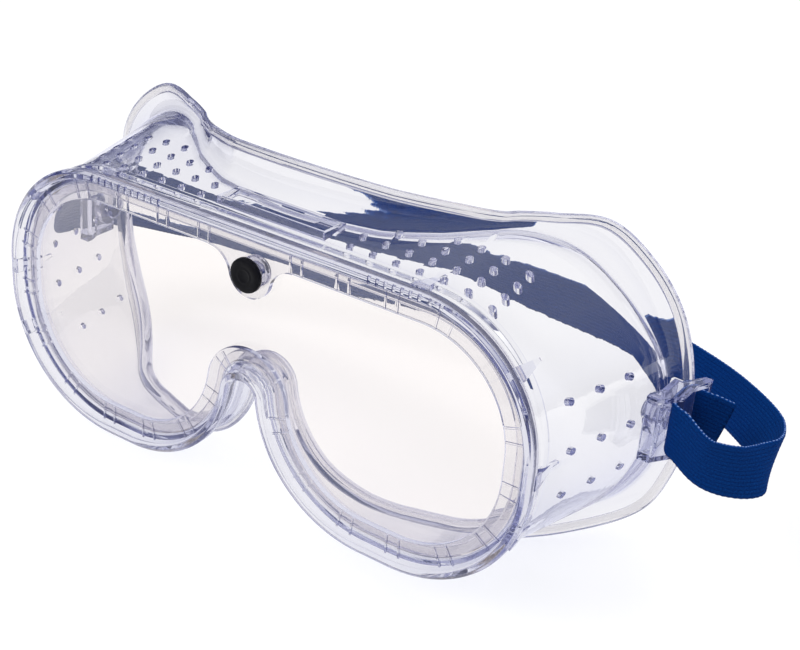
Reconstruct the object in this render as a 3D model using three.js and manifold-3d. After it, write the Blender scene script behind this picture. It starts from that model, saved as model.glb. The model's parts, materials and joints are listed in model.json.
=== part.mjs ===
// School safety goggles with direct vents: a clear soft frame, a flat lens held in its groove,
// a push stud that locks the lens, two swivelling strap clips on snap pins and an elastic strap.
// Millimetres. +X is the wearer's left, -Y the way the wearer looks, +Z up. The origin is the
// middle of the front bead over the nose; Y = 0 is the flat front of that bead.
import * as THREE from "three";
import { mergeVertices } from "three/addons/utils/BufferGeometryUtils.js";
import Module from "manifold-3d";

const wasm = await Module();
wasm.setup();

// ---- Driving dimensions ----

// Edge of the clear view: half of it is a chain of tangent lines and arcs.
const VIEW = {
  top: 32, // height of the straight brow edge
  bottom: -27.3, // height of the cheek edge
  side: 75.8, // half width
  browR: 25.5, // outer upper corner
  cheekR: 28, // outer lower corner
  noseSideR: 26.3, // inner lower corner
  noseR: 13, // arch over the nose
  noseTop: 7, // height of the arch
};

// Front rim, as distances outward from the edge of the view and depths behind the bead.
const RIM = {
  lipFront: 2.2,
  lipBack: 3.6,
  beadFoot: 5.8,
  beadIn: 6.2,
  beadOut: 7.8,
  edge: 8.6,
  edgeFront: 0.6,
  edgeDepth: 2.8,
  neck: 6.8, // outside of the wall where it leaves the rim
  neckDepth: 4.6,
  grooveOut: 4.7,
  grooveBack: 5.6,
  backLip: 2,
  backLipDepth: 7,
};
const WALL = 1.8; // thickness of the soft wall
const FLANGE_TURN = 5; // depth over which the wall turns out into the flange
const FLANGE_BEAD = 0.9; // how far the rounded edge stands beyond the flange

// The wall and the face flange change along the half outline, from the middle of the brow (0)
// to the middle of the nose arch (1): depth of the flange edge, its flare, and the wall's spread
// per millimetre of depth.
const SIDE_SPREAD = 0.24; // level with the strap clips
const STATIONS = [
  { at: 0, depth: 21.5, flare: 10, spread: 0.2 },
  { at: 0.12, depth: 24.5, flare: 8.4, spread: 0.2 },
  { at: 0.185, depth: 31, flare: 5.6, spread: 0.2 },
  { at: 0.235, depth: 39, flare: 2.6, spread: 0.19 },
  { at: 0.272, depth: 45.5, flare: 3.4, spread: 0.19 },
  { at: 0.302, depth: 49.5, flare: 7.2, spread: 0.19 },
  { at: 0.335, depth: 51, flare: 7.8, spread: 0.19 },
  { at: 0.37, depth: 52.8, flare: 6.8, spread: 0.2 },
  { at: 0.405, depth: 55, flare: 4.2, spread: 0.22 },
  { at: 0.455, depth: 56, flare: 3.4, spread: SIDE_SPREAD },
  { at: 0.51, depth: 56, flare: 5, spread: 0.22 },
  { at: 0.55, depth: 53, flare: 7.2, spread: 0.19 },
  { at: 0.59, depth: 43, flare: 7, spread: 0.1 },
  { at: 0.635, depth: 30.5, flare: 4, spread: 0.05 },
  { at: 0.68, depth: 25.5, flare: 3, spread: 0.03 },
  { at: 0.72, depth: 22.5, flare: 3, spread: 0.02 },
  { at: 0.76, depth: 19, flare: 2.5, spread: 0.01 },
  { at: 0.82, depth: 15, flare: 1.6, spread: 0 },
  { at: 0.9, depth: 13.2, flare: 0.8, spread: 0 },
  { at: 1, depth: 13, flare: 0.5, spread: 0 },
];

const GAP = 0.3; // clearance between pieces that touch
const LENS = { thick: 1.4, front: 3.9, reach: 4.4 };

// Push stud: its head, the shallow dish in the face, its shank, and the tab that carries it.
const STUD = {
  height: 28,
  headR: 4.6,
  headThick: 1.8,
  headRound: 0.7,
  dishR: 2,
  dishDepth: 0.5,
  dishSlope: 0.4,
  shankR: 2.1,
  shankRound: 0.5,
  holeR: 2.5,
  tabR: 6.6,
  filletR: 7,
};
const SOCKET = { outerR: 4.1, thick: 2.2, round: 0.6 };

const VENT_R = 1;
const DRILL = 16; // length of a drill through the wall
const TOP_VENTS = { columnsInRow: [7, 7, 6, 4], firstX: 63.8, firstY: 11, pitchX: 6.7, pitchY: 5.3 };
const SIDE_VENTS = {
  columns: 3,
  pitchY: 10.4,
  rows: [
    { z: 18, firstY: 17.3 },
    { z: 5.5, firstY: 17.3 },
    { z: -7, firstY: 17.3 },
    { z: -21.5, firstY: 21 },
  ],
};

const GUSSET = { thick: 1.2, rootDepth: 2.3, length: 9, frontHeight: 1.6, backHeight: 1.2, sink: 0.9 };
const SIDE_GUSSETS_Z = [27, 3.5, -14];
const TOP_GUSSET_X = 49;
const PLATE = { halfX: 17, y0: 9.5, y1: 18, line: 0.9, proud: 0.5 };

// Strap clip: its pivot on the side wall, and its parts as distances out (x) from the wall and
// back (y) from the pivot.
const PIVOT = { y: 46.5, z: 6 };
const CLIP = {
  halfHeight: 8.75,
  rail: 1.5,
  base: { x: [1.9, 3], y: [-3.8, 3.8] },
  pinHole: 2.4,
  frontBar: { x: [0.5, 3.7], y: [-9, -7.2] },
  centreBar: { x: [6.2, 7.7], y: [-2.8, 3.6] },
  rearBar: { x: [7.4, 9.4], y: [7.8, 9.6] },
  ringR: 2.6,
  ringInnerR: 2,
  ringProud: 0.3,
};
const PIN = { headR: 3.4, headRound: 0.3, head: [3.3, 3.9], shankR: 2, barbR: 2.9, barb: [-4, -3, -2.8] };
const LUG = { r: 5, top: 1.5, holeR: 2.4 };

const STRAP = { width: 14, thick: 1.2, samples: 100 };
// Middle line of the strap, from behind the wearer's midline out to the clip: places in the
// goggles' own frame. The slack band hangs lower on the wearer's right, at height zRight. lean
// is how far the band tips back from upright, in degrees.
const STRAP_LOOP = [
  { x: 0, y: 97, z: 0.2, zRight: 0.2, lean: 0 },
  { x: 34, y: 95.5, z: 1.2, zRight: -2.8, lean: 0 },
  { x: 62, y: 90, z: 2.5, zRight: -5.6, lean: 0 },
  { x: 86, y: 79.5, z: 3.2, zRight: -5.4, lean: 6 },
  { x: 104.5, y: 70.5, z: 2.4, zRight: -3.4, lean: 20 },
  { x: 118, y: 59.5, z: 1.4, zRight: -1, lean: 30 },
  { x: 121.5, y: 49.5, z: 1.2, zRight: 0.6, lean: 28 },
  { x: 117, y: 42.2, z: 1.8, zRight: 1.8, lean: 18 },
  { x: 109.5, y: 38.8, z: 3.4, zRight: 3.4, lean: 8 },
];
// The same line through the clip, as distances out from the wall, back and up from the pivot.
const STRAP_THREAD = [
  { x: 9.1, y: -6, z: -0.5, lean: 0 },
  { x: 6.3, y: -4.8, z: 0, lean: 0 },
  { x: 5.2, y: -2.6, z: 0, lean: 0 },
  { x: 5.1, y: 0.4, z: 0, lean: 0 },
  { x: 5.2, y: 3.4, z: 0, lean: 0 },
  { x: 6.6, y: 5.9, z: 0, lean: 0 },
  { x: 10.6, y: 6.7, z: -0.4, lean: 0 },
  { x: 15, y: 8, z: -1.6, lean: 0 },
];

const ROUND_SIDES = 16;
const STUD_SIDES = 24;
const VENT_SIDES = 6;

// ---- Solids ----

function material(color, roughness, opacity = 1) {
  return new THREE.MeshStandardMaterial({
    color,
    roughness,
    metalness: 0,
    transparent: opacity < 1,
    opacity,
  });
}

const CLEAR_PVC = material(0xdfe3f6, 0.12, 0.4);
const CLEAR_LENS = material(0xf2f4fa, 0.05, 0.25);
const CLEAR_CLIP = material(0xd6d9f2, 0.1, 0.45);
const BLACK_PLASTIC = material(0x121316, 0.4);
const BLUE_ELASTIC = material(0x08347e, 0.9);

function solidOf(geometry) {
  const bare = geometry.clone();
  bare.deleteAttribute("normal");
  bare.deleteAttribute("uv");
  const merged = mergeVertices(bare, 1e-4);
  return new wasm.Manifold(
    new wasm.Mesh({
      numProp: 3,
      vertProperties: new Float32Array(merged.attributes.position.array),
      triVerts: new Uint32Array(merged.index.array),
    }),
  );
}

function geometryOf(solid) {
  const mesh = solid.getMesh();
  const geometry = new THREE.BufferGeometry();
  geometry.setAttribute("position", new THREE.BufferAttribute(mesh.vertProperties, 3));
  geometry.setIndex(new THREE.BufferAttribute(mesh.triVerts, 1));
  geometry.computeVertexNormals();
  return geometry;
}

// A flat shape drawn in X and Z, given a depth from y0 to y1.
function slab(shape, y0, y1) {
  const options = { depth: y1 - y0, bevelEnabled: false, curveSegments: 8 };
  const geometry = new THREE.ExtrudeGeometry(shape, options);
  geometry.rotateX(Math.PI / 2);
  geometry.translate(0, y1, 0);
  return geometry;
}

function box(x, y, z) {
  const geometry = new THREE.BoxGeometry(x[1] - x[0], y[1] - y[0], z[1] - z[0]);
  geometry.translate((x[0] + x[1]) / 2, (y[0] + y[1]) / 2, (z[0] + z[1]) / 2);
  return geometry;
}

// A cylinder that runs from x0 to x1 about the line through (y, z).
function crossPin(x0, x1, y, z, radius) {
  const geometry = new THREE.CylinderGeometry(radius, radius, x1 - x0, ROUND_SIDES);
  geometry.rotateZ(Math.PI / 2);
  geometry.translate((x0 + x1) / 2, y, z);
  return geometry;
}

// A cylinder that runs from y0 to y1 about the line through (0, z).
function depthPin(y0, y1, z, radius) {
  const geometry = new THREE.CylinderGeometry(radius, radius, y1 - y0, ROUND_SIDES);
  geometry.translate(0, (y0 + y1) / 2, z);
  return geometry;
}

// Joins rings of equally many points into one closed surface. A closed loop of rings makes a
// hoop; an open row of rings gets a flat cap at each end.
function skin(rings, closed) {
  const count = rings[0].length;
  const positions = rings.flat().flatMap((p) => [p.x, p.y, p.z]);
  const index = [];
  const spans = closed ? rings.length : rings.length - 1;
  for (let i = 0; i < spans; i += 1) {
    const a = i * count;
    const b = ((i + 1) % rings.length) * count;
    for (let j = 0; j < count; j += 1) {
      const k = (j + 1) % count;
      index.push(a + j, b + j, b + k, a + j, b + k, a + k);
    }
  }
  if (!closed) {
    const last = (rings.length - 1) * count;
    for (let j = 1; j < count - 1; j += 1) {
      index.push(0, j, j + 1);
      index.push(last, last + j + 1, last + j);
    }
  }
  const geometry = new THREE.BufferGeometry();
  geometry.setAttribute("position", new THREE.Float32BufferAttribute(positions, 3));
  geometry.setIndex(index);
  return geometry;
}

// ---- Outline of the view ----

const rad = THREE.MathUtils.degToRad;

function outlineCentres() {
  const brow = { x: VIEW.side - VIEW.browR, z: VIEW.top - VIEW.browR };
  const cheek = { x: VIEW.side - VIEW.cheekR, z: VIEW.bottom + VIEW.cheekR };
  const nose = { x: 0, z: VIEW.noseTop - VIEW.noseR };
  const sideZ = VIEW.bottom + VIEW.noseSideR;
  const reach = VIEW.noseSideR + VIEW.noseR;
  const noseSide = { x: Math.sqrt(reach ** 2 - (sideZ - nose.z) ** 2), z: sideZ };
  return { brow, cheek, noseSide, nose };
}

const CENTRE = outlineCentres();

// Points of the half outline with their outward directions, from the middle of the brow round
// the wearer's left eye to the middle of the nose arch.
function halfOutline() {
  const points = [];
  const arc = (centre, radius, from, to, steps, outward) => {
    for (let i = 0; i < steps; i += 1) {
      const angle = rad(from + ((to - from) * i) / steps);
      const nx = Math.cos(angle);
      const nz = Math.sin(angle);
      const place = { x: centre.x + radius * nx, z: centre.z + radius * nz };
      points.push({ ...place, nx: nx * outward, nz: nz * outward });
    }
  };
  const line = (x0, z0, x1, z1, nx, nz, steps) => {
    for (let i = 0; i < steps; i += 1) {
      const share = i / steps;
      points.push({ x: x0 + (x1 - x0) * share, z: z0 + (z1 - z0) * share, nx, nz });
    }
  };
  const meet = (Math.atan2(CENTRE.noseSide.z - CENTRE.nose.z, CENTRE.noseSide.x) * 180) / Math.PI;
  line(0, VIEW.top, CENTRE.brow.x, VIEW.top, 0, 1, 9);
  arc(CENTRE.brow, VIEW.browR, 90, 0, 10, 1);
  line(VIEW.side, CENTRE.brow.z, VIEW.side, CENTRE.cheek.z, 1, 0, 1);
  arc(CENTRE.cheek, VIEW.cheekR, 0, -90, 8, 1);
  line(CENTRE.cheek.x, VIEW.bottom, CENTRE.noseSide.x, VIEW.bottom, 0, -1, 1);
  arc(CENTRE.noseSide, VIEW.noseSideR, -90, meet - 180, 8, 1);
  arc(CENTRE.nose, VIEW.noseR, meet, 90, 6, -1);
  points.push({ x: 0, z: VIEW.noseTop, nx: 0, nz: -1 });
  return withFractions(points);
}

function withFractions(points) {
  let run = 0;
  const runs = points.map((p, i) => {
    if (i > 0) {
      run += Math.hypot(p.x - points[i - 1].x, p.z - points[i - 1].z);
    }
    return run;
  });
  return points.map((p, i) => ({ ...p, at: runs[i] / run }));
}

function wholeOutline() {
  const half = halfOutline();
  const mirrored = half.slice(1, -1).reverse();
  return [...half, ...mirrored.map((p) => ({ ...p, x: -p.x, nx: -p.nx }))];
}

function outlineShape(offset) {
  const points = wholeOutline().map((p) => new THREE.Vector2(p.x + p.nx * offset, p.z + p.nz * offset));
  return new THREE.Shape(points.reverse());
}

// ---- Frame ----

// Depth, flare and spread at a fraction of the half outline, on a smooth curve through the
// stations. The curve starts and ends level, so that the two halves meet without a kink.
const STATION_CURVE = new THREE.CatmullRomCurve3(
  [STATIONS[1], ...STATIONS, STATIONS.at(-2)].map((s) => new THREE.Vector3(s.depth, s.flare, s.spread)),
  false,
  "catmullrom",
);

function station(at) {
  const next = Math.max(1, STATIONS.findIndex((s) => s.at >= at - 1e-9));
  const before = STATIONS[next - 1].at;
  const share = (at - before) / (STATIONS[next].at - before);
  const point = STATION_CURVE.getPoint((next + share) / (STATIONS.length + 1));
  return { depth: point.x, flare: point.y, spread: point.z };
}

// Outside of the wall, as a distance from the edge of the view.
function wallOut(spread, depth) {
  return RIM.neck + spread * (depth - RIM.neckDepth);
}

// Outside of the side wall, level with the strap clip, at the pivot's depth.
const SIDE_WALL_X = VIEW.side + wallOut(SIDE_SPREAD, PIVOT.y);

// Closed section of the frame at one station: [distance outward, depth] pairs.
function frameSection({ depth, flare, spread }) {
  const turnDepth = depth - FLANGE_TURN;
  const foot = wallOut(spread, turnDepth);
  const turn = (thick, angle) => [
    foot - thick + (flare + thick) * (1 - Math.cos(angle)),
    turnDepth + (FLANGE_TURN + thick) * Math.sin(angle),
  ];
  const angles = [0, 30, 60, 90].map(rad);
  const middle = (RIM.backLipDepth + turnDepth) / 2;
  return [
    [0, RIM.lipFront],
    [RIM.beadFoot, RIM.lipFront],
    [RIM.beadIn, 0],
    [RIM.beadOut, 0],
    [RIM.edge, RIM.edgeFront],
    [RIM.edge, RIM.edgeDepth],
    [RIM.neck, RIM.neckDepth],
    [wallOut(spread, middle), middle],
    ...angles.map((angle) => turn(0, angle)),
    [foot + flare + FLANGE_BEAD, depth + WALL / 2],
    ...angles.map((angle) => turn(WALL, angle)).reverse(),
    [wallOut(spread, middle) - WALL, middle],
    [RIM.neck - WALL, RIM.backLipDepth],
    [RIM.backLip, RIM.backLipDepth],
    [RIM.backLip, RIM.grooveBack],
    [RIM.grooveOut, RIM.grooveBack],
    [RIM.grooveOut, RIM.lipBack],
    [0, RIM.lipBack],
  ];
}

function frameShell() {
  const rings = wholeOutline().map((p) => {
    const section = frameSection(station(p.at));
    return section.map(([out, depth]) => new THREE.Vector3(p.x + p.nx * out, depth, p.z + p.nz * out));
  });
  return solidOf(skin(rings, true));
}

// Tab that hangs from the brow lip round the stud, with hollow fillets where it meets the lip.
function studTab() {
  const drop = VIEW.top - STUD.filletR;
  const side = Math.sqrt((STUD.tabR + STUD.filletR) ** 2 - (STUD.height - drop) ** 2);
  const lean = Math.atan2(STUD.height - drop, side);
  const shape = new THREE.Shape();
  shape.moveTo(side, VIEW.top + 1);
  shape.lineTo(side, VIEW.top);
  shape.absarc(side, drop, STUD.filletR, Math.PI / 2, Math.PI - lean, false);
  shape.absarc(0, STUD.height, STUD.tabR, -lean, Math.PI + lean, true);
  shape.absarc(-side, drop, STUD.filletR, lean, Math.PI / 2, false);
  shape.lineTo(-side, VIEW.top + 1);
  return solidOf(slab(shape, RIM.lipFront, RIM.lipBack));
}

// Height of the brow wall's outside over the middle of the brow.
function browWall(y) {
  return VIEW.top + wallOut(STATIONS[0].spread, y);
}

// Thin fin behind the rim, standing on the wall at (foot, 0) and rising along local +Z.
function gusset(foot) {
  const end = RIM.neckDepth + GUSSET.length;
  const shape = new THREE.Shape();
  shape.moveTo(GUSSET.rootDepth, foot - GUSSET.sink);
  shape.lineTo(end, foot - GUSSET.sink / 2);
  shape.lineTo(end, foot + GUSSET.backHeight);
  shape.lineTo(GUSSET.rootDepth, foot + GUSSET.frontHeight);
  const geometry = new THREE.ExtrudeGeometry(shape, { depth: GUSSET.thick, bevelEnabled: false });
  geometry.translate(0, 0, -GUSSET.thick / 2);
  // Shape x is depth, shape y is height and the extrusion is the thickness.
  geometry.applyMatrix4(new THREE.Matrix4().makeBasis(
    new THREE.Vector3(0, 1, 0),
    new THREE.Vector3(0, 0, 1),
    new THREE.Vector3(1, 0, 0),
  ));
  return geometry;
}

// The side of the outline at a height: centre and radius of its curve there, and the turn of its
// outward direction above level, for a surface a distance out from the view.
function besideView(z, out) {
  const level = THREE.MathUtils.clamp(z, CENTRE.cheek.z, CENTRE.brow.z);
  const radius = z > level ? VIEW.browR : VIEW.cheekR;
  return { x: VIEW.side - radius, z: level, radius, turn: Math.asin((z - level) / (radius + out)) };
}

function sideGusset(z, side) {
  const place = besideView(z, RIM.neck);
  const geometry = gusset(place.radius + RIM.neck);
  geometry.rotateY(Math.PI / 2 - place.turn);
  geometry.translate(place.x, 0, place.z);
  return side > 0 ? solidOf(geometry) : mirrored(solidOf(geometry));
}

function topGusset(side) {
  const geometry = gusset(VIEW.top + RIM.neck);
  geometry.translate(side * TOP_GUSSET_X, 0, 0);
  return solidOf(geometry);
}

function mirrored(solid) {
  return solid.mirror([1, 0, 0]);
}

// Raised rectangular line on the brow wall.
function browPlate() {
  const outer = [[-PLATE.halfX, PLATE.halfX], [PLATE.y0, PLATE.y1]];
  const height = [browWall(PLATE.y0) - 1, browWall(PLATE.y1) + PLATE.proud];
  const inner = outer.map(([a, b]) => [a + PLATE.line, b - PLATE.line]);
  const block = solidOf(box(outer[0], outer[1], height));
  return block.subtract(solidOf(box(inner[0], inner[1], [height[0] - 1, height[1] + 1])));
}

function topVents() {
  const drills = [];
  for (const [row, columns] of TOP_VENTS.columnsInRow.entries()) {
    for (let column = 0; column < columns; column += 1) {
      const x = TOP_VENTS.firstX - column * TOP_VENTS.pitchX;
      const y = TOP_VENTS.firstY + row * TOP_VENTS.pitchY;
      for (const side of [-1, 1]) {
        const drill = new THREE.CylinderGeometry(VENT_R, VENT_R, DRILL, VENT_SIDES);
        drill.rotateX(Math.PI / 2);
        drill.translate(side * x, y, VIEW.top + RIM.neck);
        drills.push(solidOf(drill));
      }
    }
  }
  return drills;
}

function sideVents() {
  const drills = [];
  for (const row of SIDE_VENTS.rows) {
    for (let column = 0; column < SIDE_VENTS.columns; column += 1) {
      const drill = new THREE.CylinderGeometry(VENT_R, VENT_R, DRILL, VENT_SIDES);
      const y = row.firstY + column * SIDE_VENTS.pitchY;
      const place = besideView(row.z, wallOut(SIDE_SPREAD, y));
      drill.rotateZ(Math.PI / 2);
      drill.translate(place.radius + wallOut(SIDE_SPREAD, y), y, 0);
      drill.rotateY(-place.turn);
      drill.translate(place.x, 0, place.z);
      const solid = solidOf(drill);
      drills.push(solid, mirrored(solid));
    }
  }
  return drills;
}

function frameBody() {
  const lug = solidOf(crossPin(SIDE_WALL_X - WALL / 2, SIDE_WALL_X + LUG.top, PIVOT.y, PIVOT.z, LUG.r));
  const through = [SIDE_WALL_X - DRILL / 2, SIDE_WALL_X + DRILL / 2];
  const lugHole = solidOf(crossPin(...through, PIVOT.y, PIVOT.z, LUG.holeR));
  const added = [studTab(), browPlate(), lug, mirrored(lug)];
  for (const side of [-1, 1]) {
    added.push(topGusset(side));
    for (const z of SIDE_GUSSETS_Z) {
      added.push(sideGusset(z, side));
    }
  }
  const cut = [solidOf(depthPin(0, RIM.backLipDepth, STUD.height, STUD.holeR)), lugHole, mirrored(lugHole)];
  cut.push(...topVents(), ...sideVents());
  const joined = added.reduce((all, solid) => all.add(solid), frameShell());
  return geometryOf(cut.reduce((all, solid) => all.subtract(solid), joined));
}

// ---- Lens and its stud ----

function lens() {
  const shape = outlineShape(LENS.reach);
  const hole = new THREE.Path();
  hole.absarc(0, STUD.height, STUD.holeR, 0, 2 * Math.PI, true);
  shape.holes.push(hole);
  return slab(shape, LENS.front, LENS.front + LENS.thick);
}

// Turned about the stud's own axis, which runs back from the tab: [radius, depth] pairs.
function turned(profile) {
  const geometry = new THREE.LatheGeometry(profile.map(([r, y]) => new THREE.Vector2(r, y)), STUD_SIDES);
  geometry.translate(0, 0, STUD.height);
  return geometry;
}

const SOCKET_FRONT = LENS.front + LENS.thick + GAP;
const SOCKET_BACK = SOCKET_FRONT + SOCKET.thick;

function lensStud() {
  const back = RIM.lipFront - GAP;
  const face = back - STUD.headThick;
  const end = SOCKET_BACK + STUD.shankRound;
  const profile = [
    [0, face + STUD.dishDepth],
    [STUD.dishR - STUD.dishSlope, face + STUD.dishDepth],
    [STUD.dishR, face],
    [STUD.headR - STUD.headRound, face],
    [STUD.headR, face + STUD.headRound],
    [STUD.headR, back],
    [STUD.shankR, back],
    [STUD.shankR, end - STUD.shankRound],
    [STUD.shankR - STUD.shankRound, end],
    [0, end],
  ];
  return turned(profile);
}

function studSocket() {
  const bore = STUD.shankR + GAP;
  const profile = [
    [bore, SOCKET_FRONT],
    [SOCKET.outerR, SOCKET_FRONT],
    [SOCKET.outerR, SOCKET_BACK - SOCKET.round],
    [SOCKET.outerR - SOCKET.round, SOCKET_BACK],
    [bore, SOCKET_BACK],
    [bore, SOCKET_FRONT],
  ];
  return turned(profile);
}

// ---- Strap clip and pin, drawn about the pivot for the wearer's left ----

function clipRail(z0) {
  const { frontBar, centreBar, rearBar, base } = CLIP;
  const corners = [
    [frontBar.x[0], frontBar.y[0]],
    [frontBar.x[1], frontBar.y[0]],
    [centreBar.x[1], centreBar.y[0]],
    [centreBar.x[1], centreBar.y[1]],
    [rearBar.x[1], rearBar.y[0]],
    [rearBar.x[1], rearBar.y[1]],
    [rearBar.x[0], rearBar.y[1]],
    [base.x[1] + 1, base.y[1]],
    [base.x[0], base.y[1]],
    [base.x[0], base.y[0]],
    [frontBar.x[0], frontBar.y[1]],
  ];
  const shape = new THREE.Shape(corners.map(([x, y]) => new THREE.Vector2(x, y)));
  const geometry = new THREE.ExtrudeGeometry(shape, { depth: CLIP.rail, bevelEnabled: false });
  geometry.translate(0, 0, z0);
  return solidOf(geometry);
}

function strapClip() {
  const z = [-CLIP.halfHeight, CLIP.halfHeight];
  const { base, frontBar, centreBar, rearBar } = CLIP;
  const bars = [base, frontBar, centreBar, rearBar].map((bar) => solidOf(box(bar.x, bar.y, z)));
  const face = centreBar.x[1];
  const ring = solidOf(crossPin(face - CLIP.ringProud, face + CLIP.ringProud, 0, 0, CLIP.ringR))
    .subtract(solidOf(crossPin(face - 1, face + 1, 0, 0, CLIP.ringInnerR)));
  const rails = [clipRail(z[0]), clipRail(z[1] - CLIP.rail)];
  const joined = [...rails, ...bars, ring].reduce((all, solid) => all.add(solid));
  const pinHole = solidOf(crossPin(base.x[0] - 1, base.x[1] + 0.2, 0, 0, CLIP.pinHole));
  return geometryOf(joined.subtract(pinHole));
}

function clipPin() {
  const profile = [
    [0, PIN.barb[0]],
    [PIN.shankR, PIN.barb[0]],
    [PIN.barbR, PIN.barb[1]],
    [PIN.shankR, PIN.barb[2]],
    [PIN.shankR, PIN.head[0]],
    [PIN.headR, PIN.head[0]],
    [PIN.headR - PIN.headRound, PIN.head[1]],
    [0, PIN.head[1]],
  ];
  const geometry = new THREE.LatheGeometry(profile.map(([r, x]) => new THREE.Vector2(r, x)), ROUND_SIDES);
  geometry.rotateZ(-Math.PI / 2);
  return geometry;
}

// ---- Strap ----

function strapBand() {
  const thread = STRAP_THREAD.map((p) => {
    return { x: SIDE_WALL_X + p.x, y: PIVOT.y + p.y, z: PIVOT.z + p.z, lean: p.lean };
  });
  const right = [...STRAP_LOOP.slice(1).map((p) => ({ ...p, z: p.zRight })), ...thread];
  const stops = [...right.reverse().map((p) => ({ ...p, x: -p.x })), ...STRAP_LOOP, ...thread];
  const places = stops.map((p) => new THREE.Vector3(p.x, p.y, p.z));
  const curve = new THREE.CatmullRomCurve3(places, false, "centripetal");
  const rings = [];
  for (let i = 0; i <= STRAP.samples; i += 1) {
    const t = i / STRAP.samples;
    const centre = curve.getPoint(t);
    const along = curve.getTangent(t);
    const slot = Math.min(stops.length - 2, Math.floor(t * (stops.length - 1)));
    const share = t * (stops.length - 1) - slot;
    const lean = rad(THREE.MathUtils.lerp(stops[slot].lean, stops[slot + 1].lean, share));
    const up = new THREE.Vector3(0, Math.sin(lean), Math.cos(lean));
    const out = new THREE.Vector3().crossVectors(along, up).normalize();
    const across = new THREE.Vector3().crossVectors(out, along).normalize();
    const corner = (w, h) => centre.clone().addScaledVector(across, (w * STRAP.width) / 2)
      .addScaledVector(out, (h * STRAP.thick) / 2);
    rings.push([corner(-1, -1), corner(-1, 1), corner(1, 1), corner(1, -1)]);
  }
  return skin(rings, false);
}

// ---- Assembly ----

const goggles = new THREE.Group();

function part(name, geometry, look, side = 1) {
  const mesh = new THREE.Mesh(geometry, look);
  mesh.name = name;
  mesh.scale.x = side;
  goggles.add(mesh);
  return mesh;
}

part("frame_body", frameBody(), CLEAR_PVC);
part("lens", lens(), CLEAR_LENS);
part("lens_stud", lensStud(), BLACK_PLASTIC);
part("stud_socket", studSocket(), CLEAR_CLIP);
for (const [name, side] of [["left", 1], ["right", -1]]) {
  const onWall = new THREE.Vector3(side * SIDE_WALL_X, PIVOT.y, PIVOT.z);
  part(`${name}_strap_clip`, strapClip(), CLEAR_CLIP, side).position.copy(onWall);
  part(`${name}_clip_pin`, clipPin(), CLEAR_CLIP, side).position.copy(onWall);
}
part("strap", strapBand(), BLUE_ELASTIC);

export default goggles;
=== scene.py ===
"""Looks of the school safety goggles: soft clear frame, flat lens, stud, clips and webbing.

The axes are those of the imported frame: +X is the wearer's left, -Y the way the wearer looks, +Z
up. The mesh helpers take millimetres, and lights and camera are placed in metres.
"""

import json
import math

import bmesh
import bpy
from mathutils import Matrix, Vector

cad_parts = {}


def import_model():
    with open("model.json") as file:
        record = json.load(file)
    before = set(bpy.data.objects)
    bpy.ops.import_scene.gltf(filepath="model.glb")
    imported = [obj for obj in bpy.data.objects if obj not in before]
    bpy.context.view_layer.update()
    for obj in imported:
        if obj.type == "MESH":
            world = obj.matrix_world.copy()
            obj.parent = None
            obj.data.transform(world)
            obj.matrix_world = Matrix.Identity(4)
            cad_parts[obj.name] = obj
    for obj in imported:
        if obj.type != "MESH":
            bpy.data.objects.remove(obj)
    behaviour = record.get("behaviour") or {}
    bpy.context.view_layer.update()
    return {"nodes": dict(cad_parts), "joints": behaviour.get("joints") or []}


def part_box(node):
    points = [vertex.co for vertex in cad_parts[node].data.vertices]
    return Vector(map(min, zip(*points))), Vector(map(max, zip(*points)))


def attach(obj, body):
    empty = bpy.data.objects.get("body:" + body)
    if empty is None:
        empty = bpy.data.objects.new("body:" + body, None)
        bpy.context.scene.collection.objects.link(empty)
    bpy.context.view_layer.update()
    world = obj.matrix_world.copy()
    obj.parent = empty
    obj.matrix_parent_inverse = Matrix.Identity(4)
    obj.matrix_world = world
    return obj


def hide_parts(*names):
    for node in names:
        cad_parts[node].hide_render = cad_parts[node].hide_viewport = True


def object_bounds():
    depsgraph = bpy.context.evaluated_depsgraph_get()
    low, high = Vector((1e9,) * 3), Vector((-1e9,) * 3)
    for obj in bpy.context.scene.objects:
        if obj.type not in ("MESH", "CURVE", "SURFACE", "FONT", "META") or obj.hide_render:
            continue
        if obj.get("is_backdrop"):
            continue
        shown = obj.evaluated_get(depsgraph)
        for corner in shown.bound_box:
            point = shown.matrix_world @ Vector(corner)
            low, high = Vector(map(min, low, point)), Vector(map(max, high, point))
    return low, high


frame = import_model()

MM = 0.001
LENS_LOW, LENS_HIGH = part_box("lens")
STUD_LOW, STUD_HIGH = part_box("lens_stud")
JOINTS = {joint["name"]: joint for joint in frame["joints"]}
PIVOT = Vector(JOINTS["strap_swing"]["pos_m"])

# ---- Sizes in millimetres, the same as in the CAD unless a comment says otherwise ----

LENS_REACH = 4.4  # how far the lens reaches beyond the edge of the view
SIDE = LENS_HIGH.x / MM - LENS_REACH
TOP = LENS_HIGH.z / MM - LENS_REACH
BOTTOM = LENS_LOW.z / MM + LENS_REACH
BROW_R, CHEEK_R, NOSE_SIDE_R, NOSE_R = 25.5, 28, 26.3, 13
NOSE_TOP = 7
LIP_FRONT, LIP_BACK = 2.2, 3.6  # depths of the lip in front of the lens
GROOVE_OUT, GROOVE_BACK = 4.7, 5.6
BACK_LIP, BACK_LIP_DEPTH = 2, 7
BEAD_MIDDLE = 7  # how far out from the view the bead's ridge runs
NECK, NECK_DEPTH = 6.8, 4.6  # outside of the wall where it leaves the rim
WALL = 1.8
FLANGE_TURN = 5  # depth over which the wall turns out into the flange
CORD_R = 1.45  # rounded cord along the edge of the flange, only here
SWELL = 1.4  # extra thickness in the middle of that turn, only here
SIDE_SPREAD = 0.24  # spread of the wall level with the strap clips
STUD_Z = (STUD_LOW.z + STUD_HIGH.z) / 2 / MM
SIDE_WALL = SIDE + NECK + SIDE_SPREAD * (PIVOT.y / MM - NECK_DEPTH)
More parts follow.
